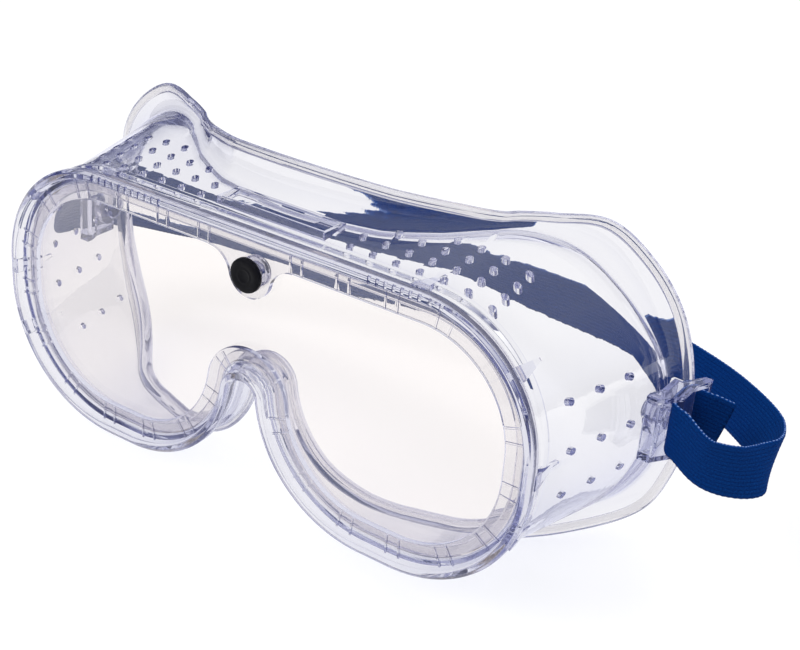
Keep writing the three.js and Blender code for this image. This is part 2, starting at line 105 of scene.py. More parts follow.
TAB_R, TAB_FILLET = 6.6, 7
LENS_HOLE_R = 2.5
VENT_R = 1
LUG_R, LUG_HOLE_R = 5, 2.4
TOP_GUSSET_X = 49
SIDE_GUSSETS_Z = (27, 3.5, -14)

# Fraction of the half outline, depth of the flange edge, its flare, and the wall's spread.
STATIONS = [
    (0, 21.5, 10, 0.2),
    (0.12, 24.5, 8.4, 0.2),
    (0.185, 31, 5.6, 0.2),
    (0.235, 39, 2.6, 0.19),
    (0.272, 45.5, 3.4, 0.19),
    (0.302, 49.5, 7.2, 0.19),
    (0.335, 51, 7.8, 0.19),
    (0.37, 52.8, 6.8, 0.2),
    (0.405, 55, 4.2, 0.22),
    (0.455, 56, 3.4, SIDE_SPREAD),
    (0.51, 56, 5, 0.22),
    (0.55, 53, 7.2, 0.19),
    (0.59, 43, 7, 0.1),
    (0.635, 30.5, 4, 0.05),
    (0.68, 25.5, 3, 0.03),
    (0.72, 22.5, 3, 0.02),
    (0.76, 19, 2.5, 0.01),
    (0.82, 15, 1.6, 0),
    (0.9, 13.2, 0.8, 0),
    (1, 13, 0.5, 0),
]

# Strap: middle line from behind the head to the clip as (x, y, z, lean, z on the wearer's
# right), then through the clip as distances out from the wall, back and up from the pivot. The
# last two places of the loop hang lower and lean less far back than in the CAD.
STRAP_WIDTH, STRAP_THICK = 14, 1.2
STRAP_LOOP = [
    (0, 97, 0.2, 0, 0.2),
    (34, 95.5, 1.2, 0, -2.8),
    (62, 90, 2.5, 0, -5.6),
    (86, 79.5, 3.2, 6, -5.4),
    (104.5, 70.5, 2.4, 20, -3.4),
    (118, 59.5, 1.4, 30, -1),
    (121.5, 49.5, 1.2, 28, 0.6),
    (117, 42.2, 1.2, 2, 1.2),
    (109.5, 38.8, 2.4, -6, 2.4),
]
STRAP_THREAD = [
    (9.1, -6, -0.5, 0),
    (6.3, -4.8, 0, 0),
    (5.2, -2.6, 0, 0),
    (5.1, 0.4, 0, 0),
    (5.2, 3.4, 0, 0),
    (6.6, 5.9, 0, 0),
    (10.6, 6.7, -0.4, 0),
    (15, 8, -1.6, 0),
]

# Knitting of the band, which the CAD doesn't have.
STRAP_RIBS = 13
STRAP_EDGE = 0.45  # rounded part at each edge of the band
STRAP_FLAT = STRAP_WIDTH / 2 - STRAP_EDGE
STITCH = 1.25  # length of a knitted stitch
BAND_UNIT = 10  # millimetres to one unit of the band's texture places


# ---- Mesh helpers ----


def mesh_object(name, points, faces):
    """A new object from points in millimetres."""
    mesh = bpy.data.meshes.new(name)
    mesh.from_pydata([Vector(p) * MM for p in points], [], faces)
    mesh.validate()
    piece = bpy.data.objects.new(name, mesh)
    bpy.context.scene.collection.objects.link(piece)
    return piece


def smooth(piece, sharp_angle=35):
    """Smooth shading, with edges sharper than the angle kept crisp."""
    bm = bmesh.new()
    bm.from_mesh(piece.data)
    for face in bm.faces:
        face.smooth = True
    for edge in bm.edges:
        if len(edge.link_faces) == 2:
            edge.smooth = edge.calc_face_angle() < math.radians(sharp_angle)
    bm.to_mesh(piece.data)
    bm.free()
    return piece


def apply_modifiers(piece):
    graph = bpy.context.evaluated_depsgraph_get()
    graph.update()
    mesh = bpy.data.meshes.new_from_object(piece.evaluated_get(graph))
    piece.modifiers.clear()
    piece.data = mesh
    return piece


def combine(piece, tools, operation):
    """Joins or cuts closed tool meshes, which are then gone."""
    for tool in tools:
        modifier = piece.modifiers.new(tool.name, "BOOLEAN")
        modifier.operation = operation
        modifier.object = tool
        modifier.solver = "MANIFOLD"
    apply_modifiers(piece)
    for tool in tools:
        bpy.data.objects.remove(tool)
    return piece


def joined(name, objects):
    """One object holding the meshes of several, which are then gone."""
    bm = bmesh.new()
    for item in objects:
        bm.from_mesh(item.data)
        bpy.data.objects.remove(item)
    mesh = bpy.data.meshes.new(name)
    bm.to_mesh(mesh)
    bm.free()
    piece = bpy.data.objects.new(name, mesh)
    bpy.context.scene.collection.objects.link(piece)
    return piece


def skin(name, rings, closed):
    """A surface through rings of equally many points; an open row of rings gets end caps."""
    count = len(rings[0])
    points = [p for ring in rings for p in ring]
    faces = []
    for i in range(len(rings) if closed else len(rings) - 1):
        a = i * count
        b = (i + 1) % len(rings) * count
        for j in range(count):
            k = (j + 1) % count
            faces.append((a + j, b + j, b + k, a + k))
    if not closed:
        faces.append(tuple(range(count)))
        faces.append(tuple(range(len(points) - 1, len(points) - count - 1, -1)))
    return mesh_object(name, points, faces)


def turned(name, profile, sides):
    """A profile of (radius, height) turned about local Z; it starts and ends on the axis."""
    points = [(0, 0, profile[0][1]), (0, 0, profile[-1][1])]
    faces = []
    inner = profile[1:-1]
    for radius, height in inner:
        for i in range(sides):
            angle = 2 * math.pi * i / sides
            points.append((radius * math.cos(angle), radius * math.sin(angle), height))
    for i in range(sides):
        k = (i + 1) % sides
        faces.append((0, 2 + k, 2 + i))
        for row in range(len(inner) - 1):
            a = 2 + row * sides
            b = a + sides
            faces.append((a + i, a + k, b + k, b + i))
        last = 2 + (len(inner) - 1) * sides
        faces.append((1, last + i, last + k))
    return mesh_object(name, points, faces)


def rod(name, radius, height, sides=20):
    """A plain round tool along local Z, used only for cutting and joining."""
    half = height / 2
    return turned(name, [(0, -half), (radius, -half), (radius, half), (0, half)], sides)


def block(name, low, high):
    """A box tool between two corners, used only for cutting and joining."""
    x, y, z = zip(low, high)
    points = [(x[i], y[j], z[k]) for i in (0, 1) for j in (0, 1) for k in (0, 1)]
    faces = [(0, 1, 3, 2), (4, 6, 7, 5), (0, 4, 5, 1), (2, 3, 7, 6), (0, 2, 6, 4), (1, 5, 7, 3)]
    return mesh_object(name, points, faces)


def place(piece, matrix):
    """Moves the mesh itself, with a matrix whose shift is in millimetres."""
    moved = matrix.copy()
    moved.translation = moved.translation * MM
    piece.data.transform(moved)
    if moved.determinant() < 0:
        piece.data.flip_normals()
    return piece


def rounded(corners, steps=4):
    """Fillets the corners of a closed outline given as (x, y, radius)."""
    points = []
    for i, (x, y, radius) in enumerate(corners):
        here = Vector((x, y))
        before = Vector(corners[i - 1][:2]) - here
        after = Vector(corners[(i + 1) % len(corners)][:2]) - here
        if radius == 0:
            points.append((x, y))
            continue
        opening = before.angle(after)
        reach = min(radius / math.tan(opening / 2), before.length * 0.49, after.length * 0.49)
        start = here + before.normalized() * reach
        end = here + after.normalized() * reach
        for step in range(steps + 1):
            t = step / steps
            point = start * (1 - t) ** 2 + here * 2 * t * (1 - t) + end * t**2
            points.append((point.x, point.y))
    return points


# ---- Outline of the view and the frame's section ----

BROW_CENTRE = Vector((SIDE - BROW_R, TOP - BROW_R))
CHEEK_CENTRE = Vector((SIDE - CHEEK_R, BOTTOM + CHEEK_R))
NOSE_CENTRE = Vector((0, NOSE_TOP - NOSE_R))
NOSE_SIDE_Z = BOTTOM + NOSE_SIDE_R
NOSE_SIDE_X = math.sqrt((NOSE_SIDE_R + NOSE_R) ** 2 - (NOSE_SIDE_Z - NOSE_CENTRE.y) ** 2)
NOSE_SIDE_CENTRE = Vector((NOSE_SIDE_X, NOSE_SIDE_Z))
MEET = math.degrees(math.atan2(NOSE_SIDE_Z - NOSE_CENTRE.y, NOSE_SIDE_X))

# Stretches of the half outline, each one of two kinds:
# ("line", start, end, normal) or ("arc", centre, radius, from, to, sign).
STRETCHES = [
    ("line", Vector((0, TOP)), Vector((BROW_CENTRE.x, TOP)), Vector((0, 1))),
    ("arc", BROW_CENTRE, BROW_R, 90, 0, 1),
    ("line", Vector((SIDE, BROW_CENTRE.y)), Vector((SIDE, CHEEK_CENTRE.y)), Vector((1, 0))),
    ("arc", CHEEK_CENTRE, CHEEK_R, 0, -90, 1),
    ("line", Vector((CHEEK_CENTRE.x, BOTTOM)), Vector((NOSE_SIDE_X, BOTTOM)), Vector((0, -1))),
    ("arc", NOSE_SIDE_CENTRE, NOSE_SIDE_R, -90, MEET - 180, 1),
    ("arc", NOSE_CENTRE, NOSE_R, MEET, 90, -1),
]


def stretch_length(stretch):
    if stretch[0] == "line":
        return (stretch[2] - stretch[1]).length
    return stretch[2] * abs(math.radians(stretch[4] - stretch[3]))


HALF_LENGTH = sum(stretch_length(s) for s in STRETCHES)


def on_outline(run):
    """Point and outward direction at a distance along the half outline from the brow's middle."""
    left = min(max(run, 0), HALF_LENGTH)
    for stretch in STRETCHES:
        length = stretch_length(stretch)
        if left <= length or stretch is STRETCHES[-1]:
            share = min(left / length, 1)
            if stretch[0] == "line":
                return stretch[1].lerp(stretch[2], share), stretch[3]
            angle = math.radians(stretch[3] + (stretch[4] - stretch[3]) * share)
            direction = Vector((math.cos(angle), math.sin(angle)))
            return stretch[1] + direction * stretch[2], direction * stretch[5]
        left -= length


def whole_outline(count):
    """Evenly spaced (point, outward direction, fraction) right round the view."""
    half = []
    for i in range(count + 1):
        point, normal = on_outline(HALF_LENGTH * i / count)
        half.append((point, normal, i / count))
    flip = [(Vector((-p.x, p.y)), Vector((-n.x, n.y)), at) for p, n, at in half[1:-1]]
    return half + flip[::-1]


def station(at):
    """Depth, flare and spread at a fraction of the half outline, on a smooth curve."""
    index = 0
    while index < len(STATIONS) - 2 and STATIONS[index + 1][0] < at:
        index += 1
    around = [STATIONS[1], *STATIONS, STATIONS[-2]][index : index + 4]
    t = (at - STATIONS[index][0]) / (STATIONS[index + 1][0] - STATIONS[index][0])
    values = []
    for a, b, c, d in list(zip(*around))[1:]:
        tangent0 = (c - a) / 2
        tangent1 = (d - b) / 2
        cubic = (2 * b - 2 * c + tangent0 + tangent1) * t**3
        square = (3 * c - 3 * b - 2 * tangent0 - tangent1) * t**2
        values.append(cubic + square + tangent0 * t + b)
    return values


def wall_out(spread, depth):
    return NECK + spread * (depth - NECK_DEPTH)


def ease(value, low, high):
    share = min(max((value - low) / (high - low), 0), 1)
    return share * share * (3 - 2 * share)


def frame_section(at):
    """Closed section of the frame as (distance outward, depth), with rounded edges."""
    depth, flare, spread = station(at)
    turn_depth = depth - FLANGE_TURN
    foot = wall_out(spread, turn_depth)
    ridge = 0.25 + 0.65 * (1 - ease(at, 0.3, 0.42))
    # The ridge and the steps beside it close up where the wall is shallow, over the nose.
    pinch = min(1, (turn_depth - 5.8) / 6.2)

    def turn(thick, angle):
        swing = math.radians(angle)
        out = foot - thick + (flare + thick) * (1 - math.cos(swing))
        return (out, turn_depth + (FLANGE_TURN + thick) * math.sin(swing), 0)

    def step(level):
        return 5 + (level - 5) * pinch

    def wall(share, thick):
        level = step(10.5) + (turn_depth - step(10.5)) * share
        return (wall_out(spread, level) - thick, level, 0)

    def swelled(angle):
        return turn(WALL + SWELL * math.sin(math.radians(2 * angle)), angle)

    cord = []
    for angle in range(-150, 151, 25):
        swing = math.radians(angle)
        out = foot + flare - 0.6 + CORD_R * math.cos(swing)
        cord.append((out, depth + WALL / 2 + CORD_R * math.sin(swing), 0))
    shares = [0.2, 0.4, 0.6, 0.8]
    angles = [0, 11, 22, 33, 44, 55, 66, 78, 90]
    corners = [
        (0, LIP_FRONT, 0.35),
        (5.7, LIP_FRONT, 0.25),
        (6.1, 0, 0.7),
        (7.7, 0, 0.6),
        (8.6, 0.7, 0.5),
        (8.6, 2.8, 0.5),
        (NECK, NECK_DEPTH, 0.5),
        (wall_out(spread, step(6.4)), step(6.4), 0.3),
        (wall_out(spread, step(6.9)) + ridge, step(6.9), 0.35),
        (wall_out(spread, step(8.3)) + ridge, step(8.3), 0.35),
        (wall_out(spread, step(9)), step(9), 0.3),
        *[wall(share, 0) for share in shares],
        *[turn(0, angle) for angle in angles],
        *cord,
        *[swelled(angle) for angle in reversed(angles)],
        *[wall(share, WALL) for share in reversed(shares)],
        (NECK - WALL, BACK_LIP_DEPTH, 0.4),
        (BACK_LIP, BACK_LIP_DEPTH, 0.5),
        (BACK_LIP, GROOVE_BACK, 0.3),
        (GROOVE_OUT, GROOVE_BACK, 0.2),
        (GROOVE_OUT, LIP_BACK, 0.2),
        (0, LIP_BACK, 0.35),
    ]
    return rounded(corners)


def frame_shell():
    rings = []
    for point, normal, at in whole_outline(200):
        ring = []
        for out, depth in frame_section(at):
            spot = point + normal * out
            ring.append((spot.x, depth, spot.y))
        rings.append(ring)
    return skin("frame_shell", rings, True)


# ---- Features joined to the frame, and its holes ----


def beside(run, out, depth, side=1):
    """Matrix at a place on the outline: local X along it, local Y back, local Z outward."""
    point, normal = on_outline(run)
    along = Vector((normal.y, 0, -normal.x))
    spot = point + normal * out
    axes = (along, Vector((0, 1, 0)), Vector((normal.x, 0, normal.y)))
    matrix = Matrix([[a[i] for a in axes] + [0] for i in range(3)] + [[0, 0, 0, 1]])
    matrix.translation = Vector((spot.x, depth, spot.y))
    if side < 0:
        matrix = Matrix.Scale(-1, 4, (1, 0, 0)) @ matrix
    return matrix


def run_at_height(z, out):
    """Distance along the outline, on the outer side, where a surface so far out has height z."""
    low, high = 0.24, 0.69  # fractions of the half outline between which the outer side falls
    for _ in range(40):
        middle = (low + high) / 2
        point, normal = on_outline(middle * HALF_LENGTH)
        if z - (point.y + normal.y * out) < 0:
            low = middle
        else:
            high = middle
    return low * HALF_LENGTH


def depth_drill(name, radius, length, y, z):
    """A round tool that runs front to back through the goggles' midline."""
    turn_back = Matrix.Rotation(math.pi / 2, 4, "X")
    return place(rod(name, radius, length, 32), Matrix.Translation((0, y, z)) @ turn_back)


def stud_tab():
    """Tab that hangs from the brow lip round the stud."""
    drop = TOP - TAB_FILLET
    side = math.sqrt((TAB_R + TAB_FILLET) ** 2 - (STUD_Z - drop) ** 2)
    lean = math.atan2(STUD_Z - drop, side)

    def arc(x, z, radius, start, sweep, steps):
        angles = [start + sweep * i / steps for i in range(steps + 1)]
        return [(x + radius * math.cos(a), z + radius * math.sin(a)) for a in angles]

    outline = [
        (side, TOP + 1),
        *arc(side, drop, TAB_FILLET, math.pi / 2, math.pi / 2 - lean, 12),
        *arc(0, STUD_Z, TAB_R, -lean, 2 * lean - math.pi, 24),
        *arc(-side, drop, TAB_FILLET, lean, math.pi / 2 - lean, 12),
        (-side, TOP + 1),
    ]
    rings = [[(x, y, z) for x, z in outline] for y in (LIP_FRONT, LIP_BACK)]
    return skin("stud_tab", rings, False)


def gusset(run, side):
    """Buttress behind the rim: broad where it meets the rim, tapering back along the wall."""
    front, back = -2.4, 9.6
    half_front, taper = 2.1, 1.7
    profile = [(front, -1), (back, -0.6), (back, 0.7), (6, 1.2), (0, 2.1), (front, 2.1)]
    rings = []
    for side_of_fin in (-1, 1):
        ring = []
        for y, z in profile:
            half = half_front - taper * (y - front) / (back - front)
            ring.append((side_of_fin * half, y, z))
        rings.append(ring)
    fin = fix_normals(skin("gusset", rings, False))
    return place(fin, beside(run, NECK, NECK_DEPTH, side))


def bead_notches(start, end, side):
    """Short cuts across the bead that break it into small blocks."""
    pitch, length = 2.3, 0.9
    cuts = []
    for i in range(int((end - start) / pitch)):
        cut = block("cut", (-length / 2, -0.5, -1.2), (length / 2, 0.45, 1.2))
        cuts.append(place(cut, beside(start + pitch * i, BEAD_MIDDLE, 0, side)))
    return cuts


def lip_ribs():
    """Pairs of thin ribs across the front of the lip, at equal steps along each half."""
    first, pitch, pairs, apart = 14.6, 13.9, 14, 3.5
    ribs = []
    for i in range(pairs):
        for side in (-1, 1):
            for shift in (-apart / 2, apart / 2):
                rib = block("rib", (-0.22, -0.45, 0.5), (0.22, 0.3, 5.95))
                ribs.append(place(rib, beside(first + pitch * i + shift, 0, LIP_FRONT, side)))
    return joined("ribs", ribs)


def fix_normals(piece):
    bm = bmesh.new()
    bm.from_mesh(piece.data)
    bmesh.ops.recalc_face_normals(bm, faces=bm.faces[:])
    bm.to_mesh(piece.data)
    bm.free()
    return piece


def brow_plate():
    """Raised rectangular line on the brow wall."""
    half_x, front, back = 17, 9.5, 18
    line, proud = 0.9, 1.2
    lift = TOP + wall_out(STATIONS[0][3], 14) + proud
    inner_x = half_x - line
    outer = block("plate", (-half_x, front, lift - 3), (half_x, back, lift))
    inner = block("plate_hole", (-inner_x, front + line, lift - 6), (inner_x, back - line, lift + 6))
    return combine(outer, [inner], "DIFFERENCE")


def top_vents():
    first_x, first_y, pitch_x, pitch_y = 63.8, 11, 6.7, 5.3
    drills = []
    for row, columns in enumerate([7, 7, 6, 4]):
        for column in range(columns):
            x = first_x - pitch_x * column
            y = first_y + pitch_y * row
            for side in (-1, 1):
                drill = rod("drill", VENT_R, 16)
                drills.append(place(drill, Matrix.Translation((side * x, y, TOP + NECK))))
    return drills


def side_vents():
    columns, pitch = 3, 10.4
    drills = []
    for z, first in ((18, 17.3), (5.5, 17.3), (-7, 17.3), (-21.5, 21)):
        for column in range(columns):
            y = first + pitch * column
            out = wall_out(SIDE_SPREAD, y)
            run = run_at_height(z, out)
            for side in (-1, 1):
                drills.append(place(rod("drill", VENT_R, 12), beside(run, out, y, side)))
    return drills


def clip_lugs():
    """Bosses on the side walls that carry the clip pins, and the tools that bore them."""
    across = Matrix.Rotation(math.pi / 2, 4, "Y")
    lugs = []
    bores = []
    for side in (-1, 1):
        middle = Vector((side * SIDE_WALL, PIVOT.y / MM, PIVOT.z / MM))
        inward = Vector((side * 3.2, 0, 0))
        lugs.append(place(rod("lug", LUG_R, 3, 32), Matrix.Translation(middle) @ across))
        bore = rod("lug_hole", LUG_HOLE_R, 14, 32)
        bores.append(place(bore, Matrix.Translation(middle - inward) @ across))
    return lugs, bores


def frame_body():
    """The whole soft moulding: shell with everything joined to it, then its holes and notches."""
    shell = fix_normals(frame_shell())
    added = [fix_normals(stud_tab()), brow_plate()]
    for side in (-1, 1):
        added.append(gusset(TOP_GUSSET_X, side))
        for z in SIDE_GUSSETS_Z:
            added.append(gusset(run_at_height(z, NECK), side))
    lugs, bores = clip_lugs()
    added.extend(lugs)
    added.append(lip_ribs())
    body = combine(shell, added, "UNION")
    stud_hole = depth_drill("stud_hole", LENS_HOLE_R, 14, 4, STUD_Z)
    notches = [*bead_notches(28, 54, -1), *bead_notches(37, 58, 1)]
    holes = joined("holes", [stud_hole, *bores, *top_vents(), *side_vents(), *notches])
    combine(body, [holes], "DIFFERENCE")
    body.name = "soft_frame"
    return smooth(body)


# ---- Lens and stud ----


def lens_sheet():
    """Flat sheet held in the groove, with an eased edge."""
    low, high = LENS_LOW.y / MM, LENS_HIGH.y / MM
    ease_by = 0.25
    rows = [
        (LENS_REACH - ease_by, low),
        (LENS_REACH, low + ease_by),
        (LENS_REACH, high - ease_by),
        (LENS_REACH - ease_by, high),
    ]
    outline = whole_outline(120)
    rings = []
    for out, y in rows:
        ring = []
        for point, normal, _ in outline:
            spot = point + normal * out
            ring.append((spot.x, y, spot.y))
        rings.append(ring)
    sheet = fix_normals(skin("lens_sheet", rings, False))
    hole = depth_drill("lens_hole", LENS_HOLE_R, 8, (low + high) / 2, STUD_Z)
    return smooth(combine(sheet, [hole], "DIFFERENCE"))


def push_stud():
    """Round stud with a ringed head, drawn from its face back along the axis."""
    face = STUD_LOW.y / MM
    end = STUD_HIGH.y / MM
    radius = (STUD_HIGH.x - STUD_LOW.x) / 2 / MM
    profile = [
        (0, face + 0.34),
        (1.3, face + 0.32),
        (1.6, face + 0.2),
        (1.9, face + 0.08),
        (2.2, face + 0.2),
        (2.5, face + 0.14),
        (3.1, face + 0.02),
        (3.7, face + 0.03),
        (radius - 0.35, face + 0.16),
        (radius - 0.08, face + 0.45),
        (radius, face + 0.8),
        (radius, face + 1.55),
        (radius - 0.2, face + 1.8),
        (2.1, face + 1.8),
        (2.1, end - 0.5),
        (1.6, end),
        (0, end),
    ]
    stud = turned("push_stud", profile, 64)
    place(stud, Matrix.Translation((0, 0, STUD_Z)) @ Matrix.Rotation(-math.pi / 2, 4, "X"))
    return smooth(fix_normals(stud), 50)


# ---- Strap ----


def strap_stops():
    """Places (x, y, z, lean) from the right end of the band to the left end."""
    thread = []
    for out, back, up, lean in STRAP_THREAD:
        thread.append((SIDE_WALL + out, PIVOT.y / MM + back, PIVOT.z / MM + up, lean))
    left = [(x, y, z, lean) for x, y, z, lean, _ in STRAP_LOOP] + thread
    right = [(x, y, low, lean) for x, y, _, lean, low in STRAP_LOOP[1:]] + thread
    return [(-x, y, z, lean) for x, y, z, lean in right[::-1]] + left


def curve_point(stops, index, t):
    """Centripetal curve through the stops, at share t of the span after stops[index]."""

    def stop(i):
        if i < 0:
            return Vector(stops[0][:3]) * 2 - Vector(stops[1][:3])
        if i >= len(stops):
            return Vector(stops[-1][:3]) * 2 - Vector(stops[-2][:3])
        return Vector(stops[i][:3])

    p0, p1, p2, p3 = (stop(index + i) for i in (-1, 0, 1, 2))
    d0, d1, d2 = (math.sqrt((b - a).length) for a, b in ((p0, p1), (p1, p2), (p2, p3)))
    tangent1 = ((p1 - p0) / d0 - (p2 - p0) / (d0 + d1) + (p2 - p1) / d1) * d1
    tangent2 = ((p2 - p1) / d1 - (p3 - p1) / (d1 + d2) + (p3 - p2) / d2) * d1
    cubic = (2 * p1 - 2 * p2 + tangent1 + tangent2) * t**3
    square = (3 * p2 - 3 * p1 - 2 * tangent1 - tangent2) * t**2
    return cubic + square + tangent1 * t + p1


def strap_line(spacing):
    """Evenly spaced (centre, lean, distance) along the strap."""
    stops = strap_stops()
    dense = []
    for index in range(len(stops) - 1):
        for step in range(60):
            t = step / 60
            lean = stops[index][3] * (1 - t) + stops[index + 1][3] * t
            dense.append((curve_point(stops, index, t), lean))
    dense.append((Vector(stops[-1][:3]), stops[-1][3]))
    line = []
    run = 0
    wanted = 0
    for (a, lean_a), (b, lean_b) in zip(dense, dense[1:]):
        step = (b - a).length
        while wanted <= run + step:
            t = (wanted - run) / step
            line.append((a.lerp(b, t), lean_a * (1 - t) + lean_b * t, wanted))
            wanted += spacing
        run += step
    return line


def band_ring(centre, along, lean, run, fray):
    """Ring of (point, place across, place along) round the band, with its ribs and stitches."""
    per_rib = 4
    half_thick = STRAP_THICK / 2
    swing = math.radians(lean)
    up = Vector((0, math.sin(swing), math.cos(swing)))
    out = along.cross(up).normalized()
    across = out.cross(along).normalized()
    ring = []
    for face in (1, -1):
        for j in range(STRAP_RIBS * per_rib + 1):
            share = j / (STRAP_RIBS * per_rib)
            w = face * (2 * share - 1) * STRAP_FLAT
            rib = math.floor(share * STRAP_RIBS * 0.9999)
            crest = abs(math.sin(math.pi * share * STRAP_RIBS))
            knit = math.cos(2 * math.pi * (run / STITCH + 0.5 * (rib % 2)))
            height = half_thick - 0.16 + 0.11 * crest + 0.05 * crest * knit
            thread_end = along * (fray * math.sin(47 * share))
            ring.append((centre + across * w + out * face * height + thread_end, w, run))
        for angle in (30, 0, -30):
            turn = math.radians(angle)
            w = face * (STRAP_FLAT + STRAP_EDGE * math.cos(turn))
            height = face * (half_thick - 0.1) * math.sin(turn)
            wave = 0.06 * math.cos(2 * math.pi * run / STITCH)
            ring.append((centre + across * (w + face * wave) + out * height, w, run))
    return ring


def webbing():
    """The knitted band, with frayed ends, and texture places along and across it."""
    line = strap_line(0.36)
    rings = []
    for i, (centre, lean, run) in enumerate(line):
        before = line[max(i - 1, 0)][0]
        after = line[min(i + 1, len(line) - 1)][0]
        fray = 0.35 if i in (0, len(line) - 1) else 0
        rings.append(band_ring(centre, (after - before).normalized(), lean, run, fray))
    band = skin("webbing", [[point for point, _, _ in ring] for ring in rings], False)
    layer = band.data.uv_layers.new(name="band")
    places = [(s / BAND_UNIT, w / BAND_UNIT) for ring in rings for _, w, s in ring]
    for loop in band.data.loops:
        layer.data[loop.index].uv = places[loop.vertex_index]
    return smooth(fix_normals(band), 80)


# ---- Materials ----


def node_material(name):
    material = bpy.data.materials.new(name)
    material.use_nodes = True
    tree = material.node_tree
    return material, tree, tree.nodes["Principled BSDF"]


def add_node(tree, kind, **values):
    node = tree.nodes.new(kind)
    for key, value in values.items():
        if key in node.inputs:
            node.inputs[key].default_value = value
        else:
            setattr(node, key, value)
    return node


def colour_ramp(tree, source, stops):
    """Colour blended between stops of (position, colour)."""
    node = tree.nodes.new("ShaderNodeValToRGB")
    elements = node.color_ramp.elements
    for element, (position, colour) in zip(elements, (stops[0], stops[-1])):
        element.color = (*colour, 1)
        element.position = position
    for position, colour in stops[1:-1]:
        elements.new(position).color = (*colour, 1)
    tree.links.new(source, node.inputs["Fac"])
    return node.outputs["Color"]


def map_range(tree, source, limits):
    """A value mapped by limits such as {"From Min": 0, "To Max": 1}; those left out are 0 or 1."""
    node = tree.nodes.new("ShaderNodeMapRange")
    for name, value in limits.items():
        node.inputs[name].default_value = value
    tree.links.new(source, node.inputs["Value"])
    return node.outputs["Result"]


def maths(tree, operation, source, *values):
    """A maths step on a source, whose further inputs are numbers or other outputs."""
    node = add_node(tree, "ShaderNodeMath", operation=operation)
    tree.links.new(source, node.inputs[0])
    for index, value in enumerate(values, 1):
        if isinstance(value, (int, float)):
            node.inputs[index].default_value = value
        else:
            tree.links.new(value, node.inputs[index])
    return node.outputs[0]


def multiplied(tree, first, second):
    node = add_node(tree, "ShaderNodeMix", data_type="RGBA", blend_type="MULTIPLY")
    node.inputs["Factor"].default_value = 1
    tree.links.new(first, node.inputs["A"])
    tree.links.new(second, node.inputs["B"])
    return node.outputs["Result"]


def noise(tree, places, scale, detail):
    node = add_node(tree, "ShaderNodeTexNoise", Scale=scale, Detail=detail)
    tree.links.new(places, node.inputs["Vector"])
    return node.outputs["Fac"]


def bumped(tree, shader, height, strength, distance):
    """Fine relief on a shader's surface, distance in metres."""
    node = add_node(tree, "ShaderNodeBump", Strength=strength, Distance=distance)
    tree.links.new(height, node.inputs["Height"])
    tree.links.new(node.outputs["Normal"], shader.inputs["Normal"])


def object_places(tree):
    return tree.nodes.new("ShaderNodeTexCoord").outputs["Object"]


def clear_plastic(name, face_tint, edge_tint_and_shade, depth_tint, roughness, bump):
    """Clear plastic: nearly colourless face on, tinted where the eye grazes an edge with the
    plastic's own tint and painted edge shade, and tinted through its depth by depth_tint, the light
    lost per metre in red, green and blue."""
    material, tree, shader = node_material(name)
    link = tree.links.new
    # The colour at grazing angles is partly the plastic's own tint and partly painted edge shade,
    # standing in for dark surroundings refracted in the edges.
    facing = add_node(tree, "ShaderNodeLayerWeight", Blend=0.35)
    tint = colour_ramp(tree, facing.outputs["Facing"], ((0.25, face_tint), (0.95, edge_tint_and_shade)))
    link(tint, shader.inputs["Base Color"])
    shader.inputs["Transmission Weight"].default_value = 1
    shader.inputs["IOR"].default_value = 1.46
    # A trace of painted glow, standing in for light trapped between the faces, which builds up to the
    # tint of thick edges.
    shader.inputs["Emission Color"].default_value = (0.3, 0.33, 0.65, 1)
    shader.inputs["Emission Strength"].default_value = 0.016
    grain = noise(tree, object_places(tree), 90, 3)
    uneven = map_range(tree, grain, {"To Min": roughness * 0.5, "To Max": roughness * 1.5})
    link(uneven, shader.inputs["Roughness"])
    bumped(tree, shader, grain, bump, 0.0004)
    # Light reaches the floor and the strap through the plastic, so its shadow stays pale.
    path = tree.nodes.new("ShaderNodeLightPath")
    passing = maths(tree, "MAXIMUM", path.outputs["Is Shadow Ray"], path.outputs["Is Diffuse Ray"])
    through = add_node(tree, "ShaderNodeBsdfTransparent", Color=(0.95, 0.955, 0.985, 1))
    mix = tree.nodes.new("ShaderNodeMixShader")
    link(passing, mix.inputs[0])
    link(shader.outputs[0], mix.inputs[1])
    link(through.outputs[0], mix.inputs[2])
    link(mix.outputs[0], tree.nodes["Material Output"].inputs["Surface"])
    loss = max(depth_tint)
    depth = add_node(tree, "ShaderNodeVolumeAbsorption", Density=loss)
    depth.inputs["Color"].default_value = (*(1 - value / loss for value in depth_tint), 1)
    link(depth.outputs[0], tree.nodes["Material Output"].inputs["Volume"])
    return material


def black_plastic():
    material, tree, shader = node_material("black_plastic")
    grain = noise(tree, object_places(tree), 900, 4)
    tone = colour_ramp(tree, grain, ((0, (0.002, 0.002, 0.003)), (1, (0.008, 0.008, 0.01))))
    tree.links.new(tone, shader.inputs["Base Color"])
    shader.inputs["Roughness"].default_value = 0.36
    shader.inputs["Specular IOR Level"].default_value = 0.07
    bumped(tree, shader, grain, 0.25, 0.00005)
    return material


def stitch_dashes(tree, along, across):
    """Share of pale thread: short dashes along the upper edge of the band."""
    edge, half_width = 0.715, 0.02
    pitch = 0.9
    near = maths(tree, "COMPARE", across, edge, half_width)
    pulse = maths(tree, "SINE", maths(tree, "MULTIPLY", along, 2 * math.pi * BAND_UNIT / pitch))
    dash = maths(tree, "GREATER_THAN", pulse, 0.1)
    return maths(tree, "MULTIPLY", maths(tree, "MULTIPLY", near, dash), 0.4)


def rib_painted_shade(tree, across):
    """Painted shade across the band: brightness falling to one dark line between neighbouring ribs,
    where shade falls in the groove.
    """
    turns = math.pi * STRAP_RIBS * BAND_UNIT / (2 * STRAP_FLAT)
    wave = maths(tree, "COSINE", maths(tree, "MULTIPLY", across, turns))
    crest = maths(tree, "ABSOLUTE", wave)
    return map_range(tree, crest, {"From Max": 0.5, "To Min": 0.6})


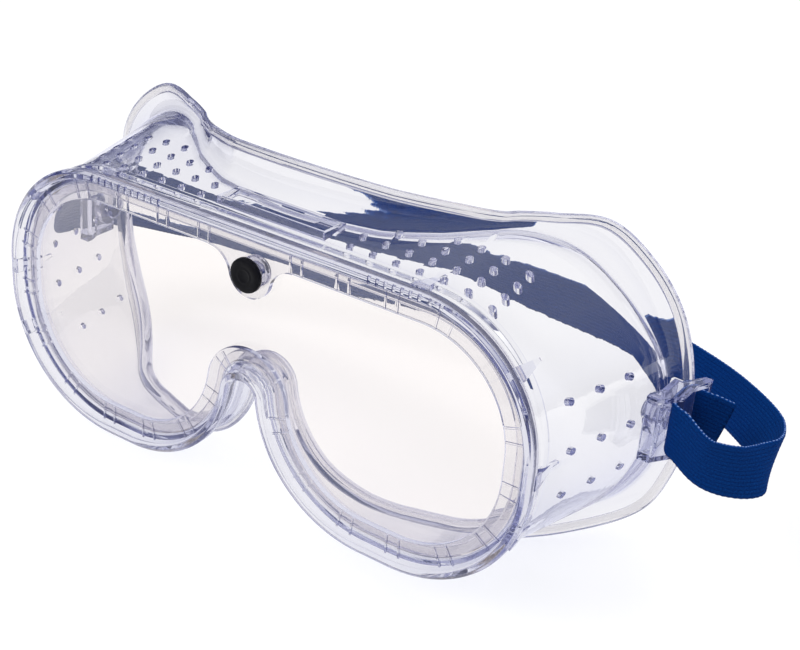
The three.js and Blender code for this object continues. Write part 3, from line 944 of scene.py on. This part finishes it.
def blue_webbing():
    """Knitted elastic: painted shade darker between ribs, flecked, with a pale stitch along the upper
    edge.
    """
    material, tree, shader = node_material("blue_webbing")
    link = tree.links.new
    band = add_node(tree, "ShaderNodeUVMap", uv_map="band").outputs["UV"]
    split = tree.nodes.new("ShaderNodeSeparateXYZ")
    link(band, split.inputs[0])
    along, across = split.outputs["X"], split.outputs["Y"]
    fleck = noise(tree, band, 30, 5)
    tone = colour_ramp(tree, fleck, ((0.3, (0.0005, 0.012, 0.075)), (0.7, (0.002, 0.04, 0.19))))
    stitched = add_node(tree, "ShaderNodeMix", data_type="RGBA")
    link(stitch_dashes(tree, along, across), stitched.inputs["Factor"])
    # The fleck tone is multiplied by painted shade in the grooves between the ribs.
    link(multiplied(tree, tone, rib_painted_shade(tree, across)), stitched.inputs["A"])
    stitched.inputs["B"].default_value = (0.3, 0.45, 0.8, 1)
    link(stitched.outputs["Result"], shader.inputs["Base Color"])
    shader.inputs["Roughness"].default_value = 0.85
    shader.inputs["Specular IOR Level"].default_value = 0.04
    bumped(tree, shader, noise(tree, band, 160, 6), 0.6, 0.0001)
    return material


def dress(piece, material):
    piece.data.materials.clear()
    piece.data.materials.append(material)
    for face in piece.data.polygons:
        face.material_index = 0
    return piece


def finish_cad(node, material, bevel):
    """A CAD node kept as it is, with edges eased by a bevel in millimetres and a better material."""
    piece = frame["nodes"][node]
    for slot in piece.material_slots:
        slot.material = material
    weld = piece.modifiers.new("weld", "WELD")
    weld.merge_threshold = 0.00001
    ease_edges = piece.modifiers.new("edges", "BEVEL")
    ease_edges.width = bevel * MM
    ease_edges.segments = 2
    ease_edges.limit_method = "ANGLE"
    ease_edges.angle_limit = math.radians(35)


def show_instead(piece, material, body, node):
    """The piece takes a CAD node's place, rides on its body and fills its material slot."""
    dress(piece, material)
    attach(piece, body)
    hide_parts(node)


# ---- Assembly ----

SOFT_CLEAR = clear_plastic(
    "soft_clear",
    face_tint=(0.9, 0.892, 0.885),
    edge_tint_and_shade=(0.34, 0.36, 0.62),
    depth_tint=(30, 29, 18),
    roughness=0.02,
    bump=0.12,
)
LENS_CLEAR = clear_plastic(
    "lens_clear",
    face_tint=(0.942, 0.905, 0.88),
    edge_tint_and_shade=(0.78, 0.79, 0.84),
    depth_tint=(8, 10, 14),
    roughness=0.004,
    bump=0,
)
CLIP_CLEAR = clear_plastic(
    "clip_clear",
    face_tint=(0.88, 0.885, 0.93),
    edge_tint_and_shade=(0.5, 0.53, 0.74),
    depth_tint=(70, 66, 40),
    roughness=0.02,
    bump=0.05,
)

show_instead(frame_body(), SOFT_CLEAR, "frame", "frame_body")
show_instead(lens_sheet(), LENS_CLEAR, "frame", "lens")
show_instead(push_stud(), black_plastic(), "frame", "lens_stud")
show_instead(webbing(), blue_webbing(), "strap", "strap")

finish_cad("stud_socket", CLIP_CLEAR, 0.15)
for side_name in ("left", "right"):
    finish_cad(side_name + "_strap_clip", CLIP_CLEAR, 0.35)
    finish_cad(side_name + "_clip_pin", CLIP_CLEAR, 0.2)

# ---- Floor, light and camera ----


def floor():
    """A pale plane that glows white far from the goggles, so that it has no visible edge."""
    low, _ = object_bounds()
    edge = 3000
    level = low.z / MM - 0.2
    corners = [(x, y, level) for x, y in ((-edge, -edge), (edge, -edge), (edge, edge), (-edge, edge))]
    ground = mesh_object("floor", corners, [(0, 1, 2, 3)])
    material, tree, shader = node_material("floor_white")
    shader.inputs["Base Color"].default_value = (0.3, 0.3, 0.3, 1)
    shader.inputs["Emission Color"].default_value = (1, 1, 1, 1)
    distance = add_node(tree, "ShaderNodeVectorMath", operation="LENGTH")
    tree.links.new(object_places(tree), distance.inputs[0])
    limits = {"From Min": 0.4, "From Max": 1.2, "To Min": 0.6, "To Max": 1}
    glow = map_range(tree, distance.outputs["Value"], limits)
    tree.links.new(glow, shader.inputs["Emission Strength"])
    shader.inputs["Roughness"].default_value = 0.9
    shader.inputs["Specular IOR Level"].default_value = 0.1
    dress(ground, material)
    ground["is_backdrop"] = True


def area_light(name, place_at, aim, size, power):
    """A round soft light that is not itself seen in, or through, the clear plastic."""
    data = bpy.data.lights.new(name, "AREA")
    data.shape = "DISK"
    data.size = size
    data.energy = power
    light = bpy.data.objects.new(name, data)
    light.location = place_at
    light.visible_glossy = False
    light.visible_transmission = False
    light.rotation_euler = (Vector(aim) - Vector(place_at)).to_track_quat("-Z", "Y").to_euler()
    bpy.context.scene.collection.objects.link(light)


def world():
    """White overhead, falling to dark indigo at the horizon, which draws the clear edges."""
    sky = bpy.data.worlds.new("studio")
    bpy.context.scene.world = sky
    sky.use_nodes = True
    tree = sky.node_tree
    link = tree.links.new
    where = tree.nodes.new("ShaderNodeTexCoord")
    split = tree.nodes.new("ShaderNodeSeparateXYZ")
    link(where.outputs["Generated"], split.inputs[0])
    heights = ((0.03, (0.1, 0.11, 0.24)), (0.2, (0.5, 0.53, 0.72)), (0.62, (1, 1, 1)))
    backdrop = colour_ramp(tree, split.outputs["Z"], heights)
    # A dark card on the wearer's right draws the outline of the rim on that side.
    limits = {"From Min": -0.95, "From Max": -0.5, "To Min": 0.3}
    card = map_range(tree, split.outputs["X"], limits)
    # Seen directly, the studio is plain white like the floor.
    path = tree.nodes.new("ShaderNodeLightPath")
    seen = add_node(tree, "ShaderNodeMix", data_type="RGBA")
    link(path.outputs["Is Camera Ray"], seen.inputs["Factor"])
    link(multiplied(tree, backdrop, card), seen.inputs["A"])
    seen.inputs["B"].default_value = (1, 1, 1, 1)
    link(seen.outputs["Result"], tree.nodes["Background"].inputs["Color"])


def camera():
    """The view from the wearer's front left, tilted, with the goggles off its centre."""
    azimuth, elevation, roll = (math.radians(a) for a in (32.7, 26.6, 4.79))
    distance, across, above = 359.8 * MM, 40.4 * MM, 13.2 * MM
    back = Vector((
        math.sin(azimuth) * math.cos(elevation),
        -math.cos(azimuth) * math.cos(elevation),
        math.sin(elevation),
    ))
    level = Vector((math.cos(azimuth), math.sin(azimuth), 0))
    rise = back.cross(level)
    right = level * math.cos(roll) + rise * math.sin(roll)
    up = rise * math.cos(roll) - level * math.sin(roll)
    data = bpy.data.cameras.new("camera")
    data.lens = 64.1
    data.sensor_width = 36
    data.clip_start = 0.01
    eye = bpy.data.objects.new("camera", data)
    axes = Matrix((right, up, back)).transposed().to_4x4()
    axes.translation = right * across + up * above + back * distance
    eye.matrix_world = axes
    bpy.context.scene.collection.objects.link(eye)
    bpy.context.scene.camera = eye


def light_paths():
    """Enough bounces for light to leave the clear pieces instead of dying inside them."""
    paths = bpy.context.scene.cycles
    paths.max_bounces = 32
    paths.transmission_bounces = 32
    paths.glossy_bounces = 24
    paths.transparent_max_bounces = 32


floor()
world()
camera()
light_paths()
area_light("key", (-0.5, -0.5, 0.9), (0, 0.02, 0), 0.7, 9)
area_light("rim", (0.6, 0.5, 0.7), (0, 0.02, 0), 0.5, 5)
bpy.context.scene.view_settings.view_transform = "Standard"
